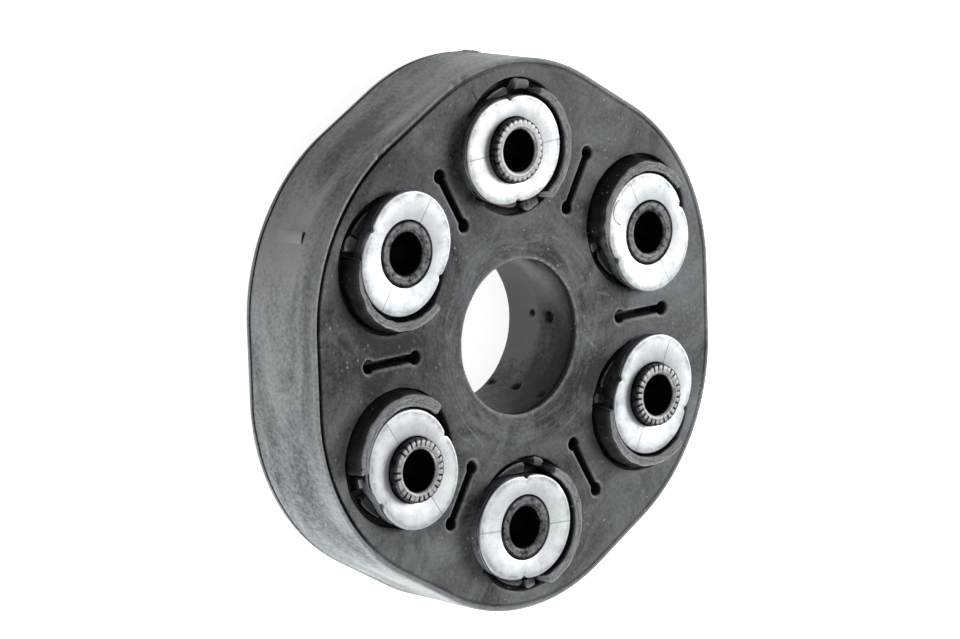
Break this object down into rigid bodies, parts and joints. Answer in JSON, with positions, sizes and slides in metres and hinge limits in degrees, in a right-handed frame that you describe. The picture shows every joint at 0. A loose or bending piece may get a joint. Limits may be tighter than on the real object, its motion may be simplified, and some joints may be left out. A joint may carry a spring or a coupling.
{
  "type": "driveshaft flex disc",
  "caption": "Rounded hexagonal rubber coupling disc with a large centre bore, steel bolt sleeves with zinc-plated flanges, and cord loops buried in the rubber.",
  "frame": {"origin": "middle of the disc: on the centre bore's axis, halfway between the two faces", "axes": "+Z along the disc's axis towards the front face, the one the picture shows; +Y towards the top of that face; +X to its right"},
  "size_m": [0.1352, 0.14, 0.0366],
  "materials": {
    "rubber": "matt moulded black with dusty swirls",
    "sleeve_steel": "dark oiled steel, knurled at one end",
    "zinc_plate": "bright pressed steel, zinc plated",
    "cord": "rubber-dipped polyester cord"
  },
  "bodies": {
    "root": {"rubber_body": "rubber", "sleeve_1": "sleeve_steel", "sleeve_2": "sleeve_steel", "sleeve_3": "sleeve_steel", "sleeve_4": "sleeve_steel", "sleeve_5": "sleeve_steel", "sleeve_6": "sleeve_steel", "front_flange_1": "zinc_plate", "front_flange_2": "zinc_plate", "front_flange_3": "zinc_plate", "front_flange_4": "zinc_plate", "front_flange_5": "zinc_plate", "front_flange_6": "zinc_plate", "rear_flange_1": "zinc_plate", "rear_flange_2": "zinc_plate", "rear_flange_3": "zinc_plate", "rear_flange_4": "zinc_plate", "rear_flange_5": "zinc_plate", "rear_flange_6": "zinc_plate", "front_loop_1": "cord", "front_loop_2": "cord", "front_loop_3": "cord", "middle_loop_1": "cord", "middle_loop_2": "cord", "middle_loop_3": "cord", "rear_loop_1": "cord", "rear_loop_2": "cord", "rear_loop_3": "cord"}
  },
  "joints": []
}
